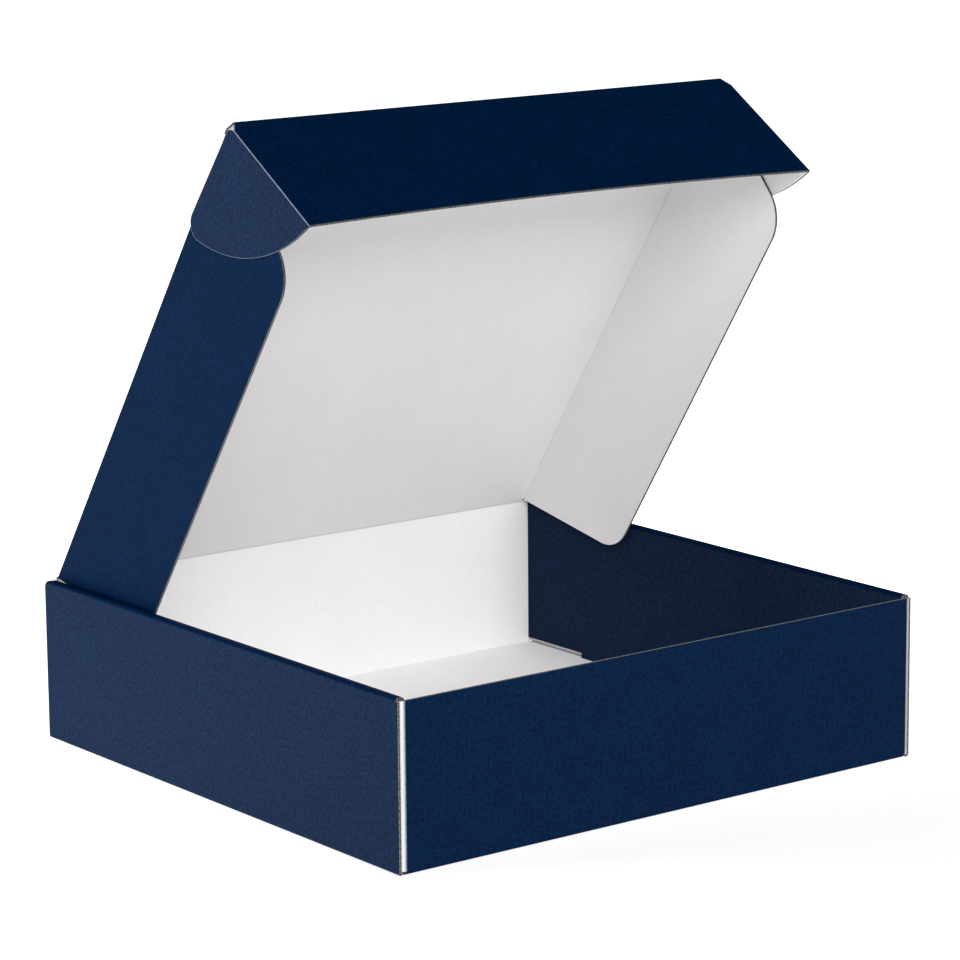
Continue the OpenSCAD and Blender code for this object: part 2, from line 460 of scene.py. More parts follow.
def arc(centre, radius, first, last, steps=ARC_STEPS):
    """Points along an arc between two angles in degrees."""
    angles = [math.radians(first + (last - first) * i / steps) for i in range(steps + 1)]
    return [(centre[0] + radius * math.cos(a), centre[1] + radius * math.sin(a)) for a in angles]


def crossing(p, p_radius, q, q_radius):
    """The crossing of two circles to the left of the line from p to q."""
    p, q = Vector(p), Vector(q)
    apart = (q - p).length
    along = (p_radius**2 - q_radius**2 + apart**2) / (2 * apart)
    across = math.sqrt(p_radius**2 - along**2)
    e = (q - p) / apart
    return p + along * e + across * Vector((-e[1], e[0]))


def rounded(before, corner, after, radius):
    """Points that round a corner of an outline."""
    before, corner, after = Vector(before), Vector(corner), Vector(after)
    u, v = (before - corner).normalized(), (after - corner).normalized()
    half = math.acos(u.dot(v)) / 2
    centre = corner + (u + v).normalized() * radius / math.sin(half)
    first, last = [
        math.degrees(math.atan2(*reversed(corner + w * radius / math.tan(half) - centre)))
        for w in (u, v)
    ]
    turn = (last - first + 540) % 360 - 180
    return arc(centre, radius, first, first + turn)


def flat_sheet(outline, slots=(), trims=(), lip=LIP_RUB_AND_HIGHLIGHT, joined=None):
    """A flat face of the outline, with rectangular slots cut out and a narrow lip along its cut edges,
    marked as much as lip says: paler on the print as scuffing and a painted edge highlight, darker on the
    white lining. Trims are lines that take off what lies past them, given by a point and the way out. joined
    says where the sheet goes on past its outline, with no lip."""
    flat = bmesh.new()
    edge = flat.verts.layers.float.new("lip")
    flat.faces.new([flat.verts.new((s, t, 0)) for s, t in outline])
    for s0, t0, s1, t1 in slots:
        for place, way in (((s0, 0, 0), X), ((s1, 0, 0), X), ((0, t0, 0), Y), ((0, t1, 0), Y)):
            cut(flat, place, way)
        inside = [
            f
            for f in flat.faces
            if s0 < f.calc_center_median().x < s1 and t0 < f.calc_center_median().y < t1
        ]
        bmesh.ops.delete(flat, geom=inside, context="FACES")
    if lip:
        flat.normal_update()
        bmesh.ops.inset_region(
            flat, faces=flat.faces[:], thickness=LIP, use_boundary=True, use_even_offset=True
        )
        for v in flat.verts:
            if v.is_boundary and not (joined and joined(v.co.x, v.co.y)):
                v[edge] = lip
    for (s, t), way in trims:
        cut(flat, (s, t, 0), way, clear_outer=True)
    return flat


def cut(flat, place, way, **clear):
    """Gives a flat sheet an edge along a line, and takes off one side of it if clear says so."""
    everything = flat.verts[:] + flat.edges[:] + flat.faces[:]
    line = {"plane_co": place, "plane_no": way}
    bmesh.ops.bisect_plane(flat, geom=everything, dist=SAME, **line, **clear)


# Flutes


FLUTE_HEIGHT = BOARD - 2 * LINER - FLUTE_PAPER
# Waves and length that the fluted sheet has to spare before it is trimmed, and how near its
# points have to be to become one.
SPARE_WAVES, SPARE_LENGTH, WELD = 2, 2, 0.001
# A face of the flutes is a cut one if its normal rises less than this.
UPRIGHT = 0.2


def flute_tree():
    """Geometry Nodes: one fluted sheet over the input's box, trimmed to the input."""
    group = bpy.data.node_groups.new("flutes", "GeometryNodeTree")
    sizes = (("Pitch", FLUTE_PITCH), ("Height", 1.0), ("Paper", FLUTE_PAPER))
    group.interface.new_socket("Outline", in_out="INPUT", socket_type="NodeSocketGeometry")
    for name, value in sizes:
        socket = group.interface.new_socket(name, in_out="INPUT", socket_type="NodeSocketFloat")
        socket.default_value = value
    group.interface.new_socket("Steps", in_out="INPUT", socket_type="NodeSocketInt")
    group.interface.new_socket("Finish", in_out="INPUT", socket_type="NodeSocketMaterial")
    group.interface.new_socket("Flutes", in_out="OUTPUT", socket_type="NodeSocketGeometry")
    tree = Tree(group)
    entry = group.nodes.new("NodeGroupInput")
    names = ("Outline", "Pitch", "Height", "Paper", "Steps", "Finish")
    outline, pitch, height, paper, steps, finish = [Value(tree, entry.outputs[n]) for n in names]
    corners = [
        tree.node("GeometryNodeBoundBox", {}, {"Geometry": outline}, output=end)
        for end in ("Min", "Max")
    ]
    low, high = [tree.node("ShaderNodeSeparateXYZ", {}, {"Vector": c}).socket.node for c in corners]
    x0, y0, x1, y1 = [Value(tree, s) for s in (*low.outputs[:2], *high.outputs[:2])]
    waves = ((x1 - x0) / pitch).ceil() + SPARE_WAVES
    grid = tree.node(
        "GeometryNodeMeshGrid",
        {},
        {
            "Size X": waves * pitch,
            "Size Y": (y1 - y0) + SPARE_LENGTH,
            "Vertices X": waves * steps + 1,
            "Vertices Y": 2,
        },
    )
    position = tree.node("GeometryNodeInputPosition", {}, {})
    here = tree.node("ShaderNodeSeparateXYZ", {}, {"Vector": position})
    wave = (here * (2 * math.pi) / pitch).cos() * (height * 0.5) - paper * 0.5
    lift = tree.node("ShaderNodeCombineXYZ", {}, {"Z": wave})
    centre = {"X": (x0 + x1) * 0.5, "Y": (y0 + y1) * 0.5}
    middle = tree.node("ShaderNodeCombineXYZ", {}, centre)
    waved = tree.node("GeometryNodeSetPosition", {}, {"Geometry": grid, "Offset": lift})
    thick = tree.node("ShaderNodeCombineXYZ", {}, {"Z": paper})
    push = {"Mesh": waved, "Offset": thick, "Individual": False}
    raised = tree.node("GeometryNodeExtrudeMesh", {"mode": "FACES"}, push)
    under = tree.node("GeometryNodeFlipFaces", {}, {"Mesh": waved})
    closed = tree.node("GeometryNodeJoinGeometry", {}, {"Geometry": (raised, under)})
    closed = tree.node("GeometryNodeMergeByDistance", {}, {"Geometry": closed, "Distance": WELD})
    placed = tree.node("GeometryNodeTransform", {}, {"Geometry": closed, "Translation": middle})
    trimmed = tree.node(
        "GeometryNodeMeshBoolean",
        {"operation": "INTERSECT", "solver": "MANIFOLD"},
        {"Mesh 2": (placed, outline)},
    )
    real = tree.node("GeometryNodeRealizeInstances", {}, {"Geometry": trimmed})
    done = tree.node("GeometryNodeSetMaterial", {}, {"Geometry": real, "Material": finish})
    tree.node("NodeGroupOutput", {}, {"Flutes": done})
    return group


FLUTE_TREE = flute_tree()


def fluted(flat):
    """Flat flutes trimmed to a flat sheet: their points, their faces and which faces are cut."""
    solid = bmesh.new()
    lower = {v: solid.verts.new((v.co.x, v.co.y, -1)) for v in flat.verts}
    upper = {v: solid.verts.new((v.co.x, v.co.y, 1)) for v in flat.verts}
    for f in flat.faces:
        solid.faces.new([upper[v] for v in f.verts])
        solid.faces.new([lower[v] for v in reversed(f.verts)])
    for e in flat.edges:
        if e.is_boundary:
            a, b = e.verts
            solid.faces.new([lower[a], lower[b], upper[b], upper[a]])
    bmesh.ops.recalc_face_normals(solid, faces=solid.faces)
    bmesh.ops.triangulate(solid, faces=solid.faces)
    mesh = bpy.data.meshes.new("outline")
    solid.to_mesh(mesh)
    solid.free()
    shape = bpy.data.objects.new("outline", mesh)
    bpy.context.scene.collection.objects.link(shape)
    modifier = shape.modifiers.new("flutes", "NODES")
    modifier.node_group = FLUTE_TREE
    wanted = {
        "Pitch": FLUTE_PITCH,
        "Height": FLUTE_HEIGHT,
        "Paper": FLUTE_PAPER,
        "Steps": FLUTE_STEPS,
        "Finish": FLUTE,
    }
    for item in FLUTE_TREE.interface.items_tree:
        if item.in_out == "INPUT" and item.name in wanted:
            modifier[item.identifier] = wanted[item.name]
    bpy.context.view_layer.update()
    result = bpy.data.meshes.new_from_object(
        shape.evaluated_get(bpy.context.evaluated_depsgraph_get())
    )
    points = [v.co.copy() for v in result.vertices]
    faces = [(tuple(p.vertices), abs(p.normal.z) < UPRIGHT) for p in result.polygons]
    bpy.data.objects.remove(shape)
    bpy.data.meshes.remove(mesh)
    bpy.data.meshes.remove(result)
    return points, faces


# Layers of paper


class Layers:
    """Gathers the closed layers of one piece and makes its object."""

    SHARP = math.radians(30)

    def __init__(self, name):
        self.name = name
        self.points, self.faces, self.finish, self.sheet, self.worn = [], [], [], [], []

    def add(self, flat, fold, depths, finishes, flip=(1, 1), worn=None, lines=(), rim=SHADED_EDGE):
        """A closed layer between two depths, with the finish of each of its faces. The per-place function
        gives, from 0 to 1, how unprinted and scuffed it is, together with the painted sheen and painted
        crease shade laid on it; lines are the places across where it needs an edge, and rim is the finish of
        its cuts."""
        flat = flat.copy()
        for s in [*fold.cuts(), *lines]:
            cut(flat, (s, 0, 0), X)
        flat.verts.index_update()
        edge = flat.verts.layers.float["lip"]
        first, count = len(self.points), len(flat.verts)
        for depth in depths:
            for v in flat.verts:
                # One value per point: the lip, scuffing, unprinted print, painted sheen and painted crease
                # shade.
                tint = max(v[edge], worn(v.co.x, v.co.y)) if worn else v[edge]
                self._point(fold, v.co.x, v.co.y, depth, flip, tint)
        for f in flat.faces:
            ring = [first + v.index for v in f.verts]
            self._face(ring, finishes[0])
            self._face([i + count for i in reversed(ring)], finishes[1])
        for e in flat.edges:
            if e.is_boundary:
                a, b = (first + v.index for v in e.verts)
                self._face([a, b, b + count, a + count], rim)
        flat.free()

    def add_flutes(self, flat, fold, flip=(1, 1), rim=SHADED_EDGE):
        points, faces = fluted(flat)
        first = len(self.points)
        for p in points:
            self._point(fold, p.x, p.y, HALF - p.z, flip)
        for ring, is_cut in faces:
            self._face([first + i for i in ring], rim if is_cut else FLUTE)

    def _point(self, fold, s, t, depth, flip, tint=0.0):
        place = fold.at(s, t, depth)
        self.points.append((place.x * flip[0] * MM, place.y * flip[1] * MM, place.z * MM))
        self.sheet.append((s, t))
        self.worn.append(tint)

    def _face(self, ring, finish):
        self.faces.append(ring)
        self.finish.append(FINISHES.index(finish))

    def make(self):
        mesh = bpy.data.meshes.new(self.name)
        mesh.from_pydata(self.points, [], self.faces)
        for finish in FINISHES:
            mesh.materials.append(finish)
        mesh.polygons.foreach_set("material_index", self.finish)
        flat_map = mesh.uv_layers.new(name="sheet")
        corners = np.zeros(len(mesh.loops), int)
        mesh.loops.foreach_get("vertex_index", corners)
        flat_map.uv.foreach_set("vector", np.array(self.sheet, np.float32)[corners].ravel())
        # The attribute that the finishes read: scuffed and unprinted print, and painted sheen, highlight and
        # shade.
        worn = mesh.attributes.new("worn", "FLOAT", "POINT")
        worn.data.foreach_set("value", self.worn)
        shell = bmesh.new()
        shell.from_mesh(mesh)
        bmesh.ops.recalc_face_normals(shell, faces=shell.faces)
        shell.to_mesh(mesh)
        shell.free()
        mesh.shade_smooth()
        mesh.set_sharp_from_angle(angle=self.SHARP)
        used = sorted(set(self.finish))
        piece = bpy.data.objects.new(self.name, mesh)
        for i in reversed(range(len(FINISHES))):
            if i not in used:
                mesh.materials.pop(index=i)
        bpy.context.scene.collection.objects.link(piece)
        return piece


# The papers of the board: their depths below the printed face and the finishes of their faces.
PRINTED_LINER = ((0, LINER), (PRINT, FLUTE))
MIDDLE = ((LINER, BOARD - LINER), (FLUTE, FLUTE))
WHITE_LINER = ((BOARD - LINER, BOARD), (FLUTE, WHITE))
# How thin the line of painted shade inside a crease is, for Folded's bend-middle mark.
INSIDE_NARROW = 3


class Board:
    """The three papers of one body's board, each its own piece."""

    def __init__(self, name):
        self.printed = Layers(f"{name}_printed_liner")
        self.flutes = Layers(f"{name}_flutes")
        self.white = Layers(f"{name}_white_liner")

    def panel(self, flat, fold, flip=(1, 1), worn=None, lines=(), rim=SHADED_EDGE):
        self.printed.add(flat, fold, *PRINTED_LINER, flip, worn, lines, rim)
        self.white.add(flat, fold, *WHITE_LINER, flip, rim=rim)
        self.flutes.add_flutes(flat, fold, flip, rim)

    def crease(self, flat, fold, flip=(1, 1)):
        """A bend pressed solid, with a line of painted shade inside."""
        shade = fold.bend_middle_mark(WALL_CREASE_SHADE, INSIDE_NARROW)
        self.printed.add(flat, fold, *PRINTED_LINER, flip)
        self.white.add(flat, fold, *WHITE_LINER, flip, shade)
        self.flutes.add(flat, fold, *MIDDLE, flip)

    def make(self, body, slot):
        for paper in (self.printed, self.flutes, self.white):
            piece = paper.make()
            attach(piece, body)
            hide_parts(body)


def crease_strip(name, outline, fold, bodies, bend, flip=(1, 1), tint=CREASE_RUB, painted_sheen=0):
    """A strip of board that bends between two bodies, from the first place of bend to the second. Its print
    is scuffed along the middle of the fold, and carries painted sheen on the strip's first half. Inside, a
    dark line of painted shade runs along the crease."""
    flat = flat_sheet(outline, lip=0)
    strip = Layers(name)
    bend_middle_mark, middle = fold.bend_middle_mark(tint), fold.length / 2

    def worn(s, t):
        return max(bend_middle_mark(s, t), painted_sheen if s < middle else 0)

    strip.add(flat, fold, *PRINTED_LINER, flip, worn)
    strip.add(flat, fold, *MIDDLE, flip)
    # Painted shade: a dark line along the middle of the crease inside.
    strip.add(flat, fold, *WHITE_LINER, flip, fold.bend_middle_mark(CREASE_SHADE, INSIDE_NARROW))
    piece = strip.make()
    start, end = [Vector((p.x * flip[0], p.y * flip[1], p.z)) * MM for p in bend]
    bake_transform(piece, *bodies, start=tuple(start), end=tuple(end))


def across_middle(right):
    """The outline of a crease from its right half."""
    return [(s, -x) for s, x in right] + right[::-1]


# Tray


def side_half():
    """The left side wall's edge on the flat sheet, from the base's front corner round the foot with
    its lock tabs to the base's rear corner: distance along the fold line, then from the front."""
    fold = SIDES
    base = fold.mark(6)
    top_outer, top_inner = fold.mark(4), fold.mark(1)
    strip_start, strip_end = fold.mark(2), fold.mark(3)
    inset = BOARD + GAP
    foot = FOOT - GAP
    front = [(base, FOLD_OUT), (base, 0), (top_outer, 0), (top_outer, inset), (foot, inset)]
    locks = []
    for start in (LOCK_INSET, DEPTH - LOCK_INSET - LOCK_LENGTH):
        end = start + LOCK_LENGTH
        locks += [(foot, start)]
        locks += arc((LOCK_RADIUS, start + LOCK_RADIUS), LOCK_RADIUS, 270, 180, LOCK_STEPS)
        locks += arc((LOCK_RADIUS, end - LOCK_RADIUS), LOCK_RADIUS, 180, 90, LOCK_STEPS)
        locks += [(foot, end)]

    def rear(height):
        """How far back the wall's rounded rear corner reaches at a height."""
        rise = height - (HEIGHT - REAR_CORNER)
        return DEPTH - REAR_CORNER + math.sqrt(max(REAR_CORNER**2 - rise**2, 0))

    back = [(foot, DEPTH - inset), (top_inner, DEPTH - inset)]
    for first, last, rising in ((top_inner, strip_start, True), (strip_end, top_outer, False)):
        for i in range(REAR_STEPS + 1):
            part = i / REAR_STEPS
            turn = QUARTER * (part if rising else 1 - part)
            height = HEIGHT - FOLD_OUT + FOLD_OUT * math.sin(turn)
            reach = rear(height) if not rising else min(rear(height), DEPTH - inset)
            back.append((first + (last - first) * part, reach))
    for i in range(1, REAR_STEPS + 1):
        fall = (REAR_CORNER - FOLD_OUT) * i / REAR_STEPS
        back.append((top_outer + fall, rear(HEIGHT - FOLD_OUT - fall)))
    back += [(base, DEPTH), (base, DEPTH - FOLD_OUT)]
    return front + locks + back


SIDE_RUNS = [
    (HEIGHT - FOLD_OUT - GAP, 0),
    (FOLD_IN, QUARTER),
    (STRIP - 2 * FOLD_OUT, 0),
    (FOLD_IN, QUARTER),
    (HEIGHT - 2 * FOLD_OUT, 0),
    (FOLD_IN, QUARTER),
]
SIDES = Folded(
    (-WIDTH / 2 + STRIP - HALF, GAP),
    QUARTER,
    SIDE_RUNS + [(WIDTH - 2 * FOLD_OUT, 0)] + SIDE_RUNS[::-1],
    X,
    Z,
    Y,
    origin=Vector((0, -DEPTH / 2, 0)),
)
WALL_RUNS = [(END_TAB - FOLD_OUT, 0), (FOLD_IN, QUARTER)]
CORNER_X = BOARD + GAP + FOLD_OUT
WALL = Folded(
    (-WIDTH / 2 + BOARD + GAP + HALF, -DEPTH / 2 + END_TAB),
    3 * QUARTER,
    WALL_RUNS + [(WIDTH - 2 * CORNER_X, 0)] + WALL_RUNS[::-1],
    X,
    Y,
    Z,
)
WALL_FOOT = Folded((-DEPTH / 2 + HALF, FOLD_OUT), 3 * QUARTER, [(FOLD_IN, QUARTER)], Y, Z, X)


def sides_outline():
    left = side_half()
    whole = SIDES.length
    return left + [(whole - s, t) for s, t in reversed(left)]


def slot_boxes():
    """The four slots that the lock tabs enter."""
    first = SIDES.mark(6) - FOLD_OUT
    width = BOARD + 2 * SLOT_CLEAR
    boxes = []
    for s in (first + STRIP - BOARD - SLOT_CLEAR, first + WIDTH - STRIP - SLOT_CLEAR):
        for t in (LOCK_INSET, DEPTH - LOCK_INSET - LOCK_LENGTH):
            boxes.append((s, t - SLOT_CLEAR, s + width, t + LOCK_LENGTH + SLOT_CLEAR))
    return boxes


def wall_outline(lid_fold):
    """A front or back wall with its two end tabs. The back wall's top makes room for the lid's
    crease."""
    low, corner = FOLD_OUT + GAP, WALL.mark(2)
    left = [
        (0, WALL_TOP - END_TAPER),
        (0, low + END_TAPER),
        (END_TAPER, low),
        (corner, low),
        (corner, FOLD_OUT),
    ]
    top = [(END_TAPER, WALL_TOP)]
    if lid_fold:
        edge = WALL.length / 2 - LID_HALF
        top = [(edge, HINGE.z - HINGE_REACH), (edge, WALL_TOP)] + top
    whole = WALL.length
    right = [(whole - s, t) for s, t in left]
    return left + right[::-1] + [(whole - s, t) for s, t in reversed(top)] + top


def base_goes_on(s, t):
    """Where the base goes on into the front and back walls."""
    on_base = SIDES.mark(6) - NEAR < s < SIDES.mark(7) + NEAR
    return on_base and min(t, DEPTH - t) > FOLD_OUT - NEAR


def wall_goes_on(s, t):
    """Where a front or back wall goes on into the base or the lid."""
    return min(abs(t - FOLD_OUT), abs(t - HINGE.z + HINGE_REACH)) < NEAR


PRINT_FIRST, PRINT_LAST = WALL.mark(2) + PRINT_START, WALL.mark(3) - PRINT_END
PRINT_LINES = [s + way * PRINT_FADE / 2 for s in (PRINT_FIRST, PRINT_LAST) for way in (-1, 1)]


def unprinted(s, t):
    """How unprinted a front or back wall's outer face is: white round the corner folds, and elsewhere paler
    by a little painted sheen.
    """
    past = max(PRINT_FIRST - s, s - PRINT_LAST)
    return min(max(past / PRINT_FADE + 0.5, WALL_PAINTED_SHEEN), 1)


def side_painted_sheen(s, t):
    """How much painted sheen the print of the base and the side walls carries: all but the strips on top."""
    s = min(s, SIDES.length - s)
    return 0 if SIDES.mark(1) + NEAR < s < SIDES.mark(4) - NEAR else SIDE_PAINTED_SHEEN


def make_tray():
    board = Board("tray")
    sides = flat_sheet(sides_outline(), slot_boxes(), joined=base_goes_on)
    # The side walls' print carries painted sheen; their cut ends keep the cut paper's own colour.
    board.panel(sides, SIDES, worn=side_painted_sheen, rim=WALL_END)
    half = WIDTH / 2 - CORNER_X
    foot = [(0, -half), (WALL_FOOT.length, -half), (WALL_FOOT.length, half), (0, half)]
    for lid_fold, flip in ((False, (1, 1)), (True, (1, -1))):
        wall = flat_sheet(wall_outline(lid_fold), joined=wall_goes_on)
        board.panel(wall, WALL, flip, unprinted, PRINT_LINES)
        board.crease(flat_sheet(foot, lip=0), WALL_FOOT, flip)
    board.make("tray", "board_navy")


# Lid


FLAP_MID = FLAP_FOLD_IN + HALF
FLAP_EDGE_X = LID_HALF - HALF - FLAP_MID - FLAP_FLAT
FLAP_TOP = FLAP_MID + FLAP_FLAT - HALF
FLAP_REAR_T, FLAP_FRONT_T = FLAP_START, LID_LENGTH - FLAP_END
CUT_AT_FOLD = LID_HALF - TUCK_CUT_WIDTH
FOLD_EDGE = CUT_AT_FOLD + TUCK_CUT_WIDTH * HINGE_REACH / TUCK_CUT_HEIGHT
# How far short of its front fold line the part's lid ends, and where its chamfers are drawn from.
LID_END = HALF + GAP


def make_lid():
    front = LID_LENGTH - HINGE_REACH
    right = [
        (FLAP_EDGE_X, HINGE_REACH),
        (FLAP_EDGE_X, FLAP_FRONT_T + GAP),
        (LID_HALF, FLAP_FRONT_T + GAP),
        (LID_HALF, LID_LENGTH - LID_END - CHAMFER),
        (FOLD_EDGE, front),
    ]
    outline = right + [(-x, t) for x, t in reversed(right)]
    board = Board("lid")
    level = Level(HINGE - HALF * LID_IN, X, LID_ALONG, LID_IN)
    board.panel(flat_sheet(outline, lip=0), level)
    board.make("lid", "board_white")


def make_lid_crease():
    heading = math.pi + LID_OPEN
    turn = QUARTER - LID_OPEN
    tangent = (HINGE_FOLD_IN + HALF) * math.tan(turn / 2)
    flat_run = HINGE_REACH - tangent
    start = HINGE + HINGE_REACH * LID_ALONG
    runs = [(flat_run, 0), (HINGE_FOLD_IN, turn), (flat_run, 0)]
    fold = Folded((-start.y, start.z), heading, runs, -Y, Z, X)
    flap_reach = HINGE_REACH - FLAP_REAR_T + GAP
    right = [
        (0, FLAP_EDGE_X),
        (flap_reach, FLAP_EDGE_X),
        (flap_reach, LID_HALF),
        (fold.length, LID_HALF),
    ]
    reach = HINGE_REACH * BLEND_SHARE
    bend = (HINGE - reach * Z, HINGE + reach * LID_ALONG)
    crease_strip("lid_crease", across_middle(right), fold, ("tray", "lid"), bend)


# Tuck flap and ears


EAR_FOLD_X = EAR_X - (FOLD_IN + HALF) - EAR_FLAT
EAR_FOLD_REACH = EAR_X - EAR_FOLD_X


def free_edge(x):
    """Depth of the tuck flap's bowed free edge."""
    return TUCK - TUCK_BOW * (1 - (x / LID_HALF) ** 2)


def make_tuck_flap():
    right = [(FOLD_EDGE, HINGE_REACH), (LID_HALF, TUCK_CUT_HEIGHT)]
    places = [LID_HALF * (1 - i / ARC_STEPS) for i in range(2 * ARC_STEPS + 1)]
    bow = [(x, free_edge(x)) for x in places]
    outline = right + bow + [(-x, t) for x, t in reversed(right)]
    trims = [((EAR_FOLD_X, 0), X), ((-EAR_FOLD_X, 0), -X)]
    sheet = flat_sheet(outline, trims=trims, joined=lambda s, t: t < HINGE_REACH + NEAR)
    board = Board("tuck_flap")
    level = Level(TUCK_FOLD - HALF * TUCK_IN, X, TUCK_DOWN, TUCK_IN)
    board.panel(sheet, level)
    board.make("tuck_flap", "board_navy")


def make_tuck_crease():
    turn = QUARTER - TUCK_LEAN
    flat_run = HINGE_REACH - (FOLD_IN + HALF) * math.tan(turn / 2)
    start = TUCK_FOLD + HINGE_REACH * TUCK_DOWN
    heading = math.atan2(-TUCK_DOWN.z, TUCK_DOWN.y)
    runs = [(flat_run, 0), (FOLD_IN, turn), (flat_run, 0)]
    fold = Folded((-start.y, start.z), heading, runs, -Y, Z, X)
    right = [(0, FOLD_EDGE), (fold.length / 2, CUT_AT_FOLD), (fold.length, FOLD_EDGE)]
    reach = HINGE_REACH * BLEND_SHARE
    bend = (TUCK_FOLD - reach * LID_ALONG, TUCK_FOLD + reach * TUCK_DOWN)
    crease_strip("tuck_flap_crease", across_middle(right), fold, ("lid", "tuck_flap"), bend)


def ear_outline():
    """Reach back from the fold, then depth down along it."""
    foot = (0, TUCK)
    corner = (EAR_REACH - EAR_CORNER, EAR_TOP - EAR_RISE + EAR_CORNER)
    centre = crossing(corner, EAR_ARC - EAR_CORNER, foot, EAR_ARC)
    away = Vector(corner) - centre
    touch = math.degrees(math.atan2(away.y, away.x))
    down = Vector(foot) - centre
    return (
        [(0, TUCK_CUT_HEIGHT), (EAR_NOSE, EAR_TOP)]
        + arc(corner, EAR_CORNER, -90, touch)
        + arc(centre, EAR_ARC, touch, math.degrees(math.atan2(down.y, down.x)), LONG_ARC_STEPS)
    )


def make_ear(side, flip):
    board = Board(f"lock_ear_{side}")
    axis = TUCK_FOLD + EAR_X * X
    level = Level(axis + HALF * X, TUCK_IN, TUCK_DOWN, -X)
    # The ear's cut lip is painted much paler: scuffed print and a painted edge highlight.
    sheet = flat_sheet(ear_outline(), trims=[((EAR_FOLD_REACH, 0), -X)], lip=EAR_LIP_RUB_AND_HIGHLIGHT)
    # The ear's print carries painted sheen.
    board.panel(sheet, level, flip, worn=lambda s, t: EAR_PAINTED_SHEEN)
    board.make(f"lock_ear_{side}", "board_navy")
    # The crease, in a plane across it: from the ear forward and round onto the tuck flap.
    fold = Folded(
        (EAR_X, -EAR_FOLD_REACH),
        QUARTER,
        [(EAR_FLAT, 0), (FOLD_IN, QUARTER), (EAR_FLAT, 0)],
        X,
        -TUCK_IN,
        TUCK_DOWN,
        origin=TUCK_FOLD,
    )
    on_flap = (EAR_FOLD_X - CUT_AT_FOLD) * TUCK_CUT_HEIGHT / TUCK_CUT_WIDTH
    outline = [
        (0, EAR_TOP),
        (fold.length / 2, TUCK_CUT_HEIGHT),
        (fold.length, on_flap),
        (fold.length, free_edge(EAR_FOLD_X)),
        (fold.length / 2, TUCK),
        (0, edge_depth(EAR_FOLD_REACH)),
    ]
    middle, reach = axis + TUCK / 2 * TUCK_DOWN, EAR_FOLD_REACH * BLEND_SHARE
    bend = (middle - reach * X, middle + reach * TUCK_IN)
    name, bodies = f"lock_ear_{side}_crease", ("tuck_flap", f"lock_ear_{side}")
    # The ear crease's print carries the ear's painted sheen on its ear half.
    crease_strip(name, outline, fold, bodies, bend, flip, tint=EAR_CREASE_RUB, painted_sheen=EAR_PAINTED_SHEEN)


def edge_depth(reach):
    """Depth of the ear's long edge at a reach from its fold."""
    long_arc = ear_outline()[-LONG_ARC_STEPS - 1 :]
    for a, b in zip(long_arc, long_arc[1:]):
        if b[0] <= reach <= a[0]:
            return b[1] + (a[1] - b[1]) * (reach - b[0]) / (a[0] - b[0])
    return TUCK


# Side flaps


def make_side_flap(side, flip):
    depth = FLAP - BOARD
    a, d = (0, FLAP_REAR_T), (0, FLAP_FRONT_T)
    b, c = (depth, FLAP_REAR_T + FLAP_REAR), (depth, FLAP_FRONT_T - FLAP_FRONT)
    outline = [a] + rounded(a, b, c, FLAP_RADIUS) + rounded(b, c, d, FLAP_RADIUS) + [d]
    board = Board(f"side_flap_{side}")
    level = Level(HINGE + HALF * LID_IN + LID_HALF * X, LID_IN, LID_ALONG, -X)
    sheet = flat_sheet(outline, trims=[((FLAP_TOP, 0), -X)])
    # The side flap's print carries a touch of painted sheen.
    board.panel(sheet, level, flip, worn=lambda s, t: FLAP_PAINTED_SHEEN)
    board.make(f"side_flap_{side}", "board_navy")
    fold = Folded(
        (LID_HALF - HALF, -(FLAP_TOP + HALF)),
        QUARTER,
        [(FLAP_FLAT, 0), (FLAP_FOLD_IN, QUARTER), (FLAP_FLAT, 0)],
        X,
        -LID_IN,
        LID_ALONG,
        origin=HINGE,
    )
    share = FLAP_TOP / depth
    outline = [
        (0, FLAP_REAR_T + share * FLAP_REAR),
        (fold.length, FLAP_REAR_T),
        (fold.length, FLAP_FRONT_T),
        (0, FLAP_FRONT_T - share * FLAP_FRONT),
    ]
    middle = HINGE + LID_LENGTH / 2 * LID_ALONG + (LID_HALF - BOARD) * X + HALF * LID_IN
    bend = (middle - FLAP_BLEND * X, middle + FLAP_BLEND * LID_IN)
    name, bodies = f"side_flap_{side}_crease", ("lid", f"side_flap_{side}")
    crease_strip(name, outline, fold, bodies, bend, flip)


make_tray()
make_lid()
make_lid_crease()
make_tuck_flap()
make_tuck_crease()
for side, flip in (("right", (1, 1)), ("left", (-1, 1))):
    make_ear(side, flip)
    make_side_flap(side, flip)


# Studio


# The floor, in metres: half its width, how far it lies below the box, and its glow, which grows
# with the distance from a place in front of the box.
FLOOR_HALF, FLOOR_DROP = 6.0, 0.0002
GLOW_CENTRE = (-0.25, -1.25, 0)
GLOW_RANGE = {"From Min": 0.9, "From Max": 1.5, "To Min": 0.3, "To Max": 1.1}
WORLD_LIGHT = 0.03

# The softboxes: name, place and size in metres, and power in watts. Both point at AIM.
AIM = Vector((0, 0, 0.15))
SOFTBOXES = (
    ("side softbox", (-2.38, 1.33, 0.68), (1.4, 1.4), 68),
    ("front softbox", (-0.59, -2.35, 1.49), (2.6, 1.2), 80),
)

# The photograph's view, fitted to the box's edges: the picture's width and the focal length in
# pixels, the sensor's width in millimetres, the place in metres and the turns in degrees.
PICTURE, FOCAL, SENSOR = 960.0, 3858.0, 36.0
EYE = (-1.2656, -1.6612, 0.5864)
YAW, PITCH, ROLL = 37.43, 11.731, -0.472
FAR_END = 50


def in_scene(name, data):
    """Adds an object to the scene."""
    made = bpy.data.objects.new(name, data)
    bpy.context.scene.collection.objects.link(made)
    return made


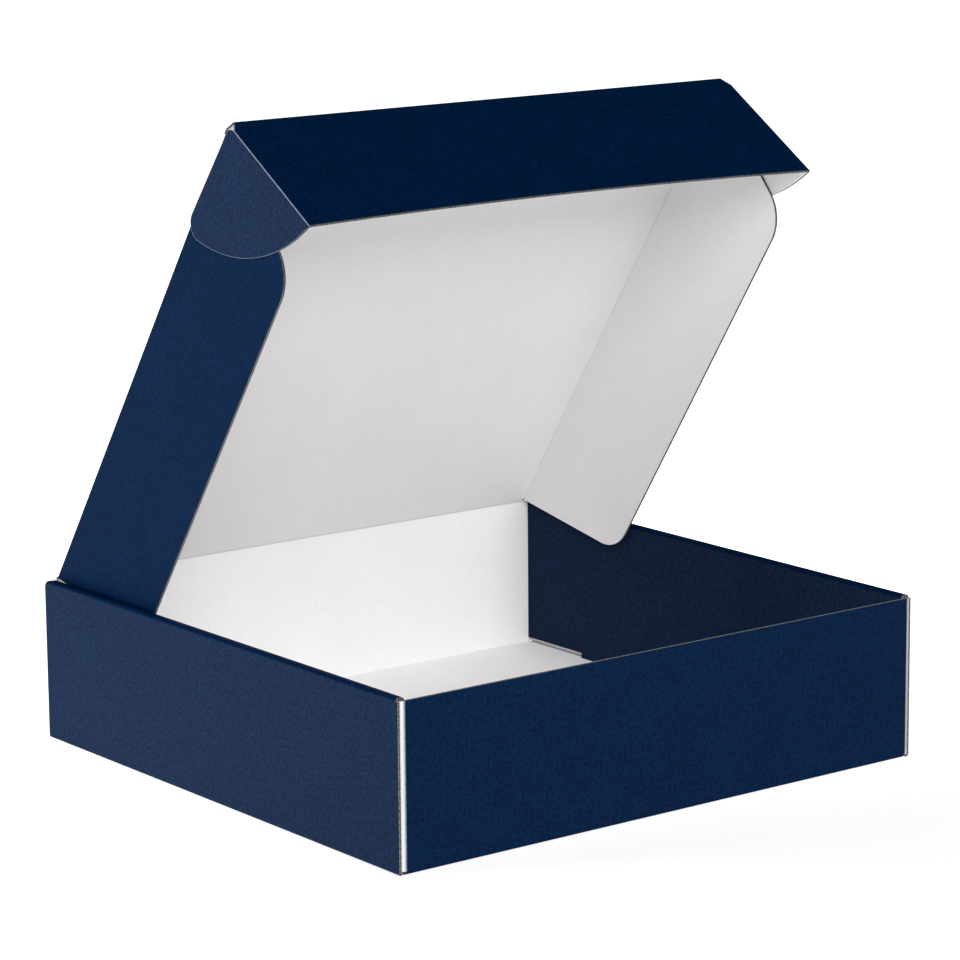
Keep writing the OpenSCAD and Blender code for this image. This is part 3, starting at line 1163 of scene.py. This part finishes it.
def floor():
    mesh = bpy.data.meshes.new("studio_floor")
    corners = [(-1, -1), (1, -1), (1, 1), (-1, 1)]
    places = [(x * FLOOR_HALF, y * FLOOR_HALF, -FLOOR_DROP) for x, y in corners]
    mesh.from_pydata(places, [], [(0, 1, 2, 3)])
    material = bpy.data.materials.new("white floor")
    material.use_nodes = True
    material.node_tree.nodes.clear()
    tree = Tree(material.node_tree)
    place = tree.node("ShaderNodeTexCoord", {}, {}, output="Object")
    ends = {0: place, 1: GLOW_CENTRE}
    away = tree.node("ShaderNodeVectorMath", {"operation": "DISTANCE"}, ends, output="Value")
    smooth = {"interpolation_type": "SMOOTHSTEP"}
    glow = tree.node("ShaderNodeMapRange", smooth, {"Value": away, **GLOW_RANGE})
    white = {"Base Color": (0.92, 0.92, 0.92, 1), "Roughness": 0.9, "Emission Color": (1, 1, 1, 1)}
    surface = tree.node("ShaderNodeBsdfPrincipled", {}, {**white, "Emission Strength": glow})
    tree.node("ShaderNodeOutputMaterial", {}, {"Surface": surface})
    material.cycles.emission_sampling = "NONE"
    mesh.materials.append(material)
    in_scene("studio_floor", mesh)


def softbox(name, place, size, power):
    light = bpy.data.lights.new(name, "AREA")
    light.shape = "RECTANGLE"
    light.size, light.size_y = size
    light.energy = power
    turn = (AIM - Vector(place)).to_track_quat("-Z", "Y").to_matrix().to_4x4()
    in_scene(name, light).matrix_world = Matrix.Translation(place) @ turn


def studio():
    floor()
    world = bpy.data.worlds.new("studio")
    world.use_nodes = True
    background = world.node_tree.nodes["Background"]
    background.inputs["Color"].default_value = (1, 1, 1, 1)
    background.inputs["Strength"].default_value = WORLD_LIGHT
    scene = bpy.context.scene
    scene.world = world
    for box in SOFTBOXES:
        softbox(*box)
    scene.view_settings.view_transform = "Standard"
    scene.view_settings.look = "None"


def camera():
    """The camera of the photograph's view."""
    yaw, pitch, roll = (math.radians(a) for a in (YAW, PITCH, ROLL))
    flat = math.cos(pitch)
    sight = Vector((math.sin(yaw) * flat, math.cos(yaw) * flat, -math.sin(pitch)))
    level_right = Vector((math.cos(yaw), -math.sin(yaw), 0))
    level_up = level_right.cross(sight)
    right = math.cos(roll) * level_right + math.sin(roll) * level_up
    up = math.cos(roll) * level_up - math.sin(roll) * level_right
    data = bpy.data.cameras.new("camera")
    data.sensor_width = SENSOR
    data.lens = FOCAL * SENSOR / PICTURE
    data.clip_end = FAR_END
    view = in_scene("camera", data)
    turn = Matrix((right, up, -sight)).transposed().to_4x4()
    view.matrix_world = Matrix.Translation(EYE) @ turn
    bpy.context.scene.camera = view


studio()
camera()
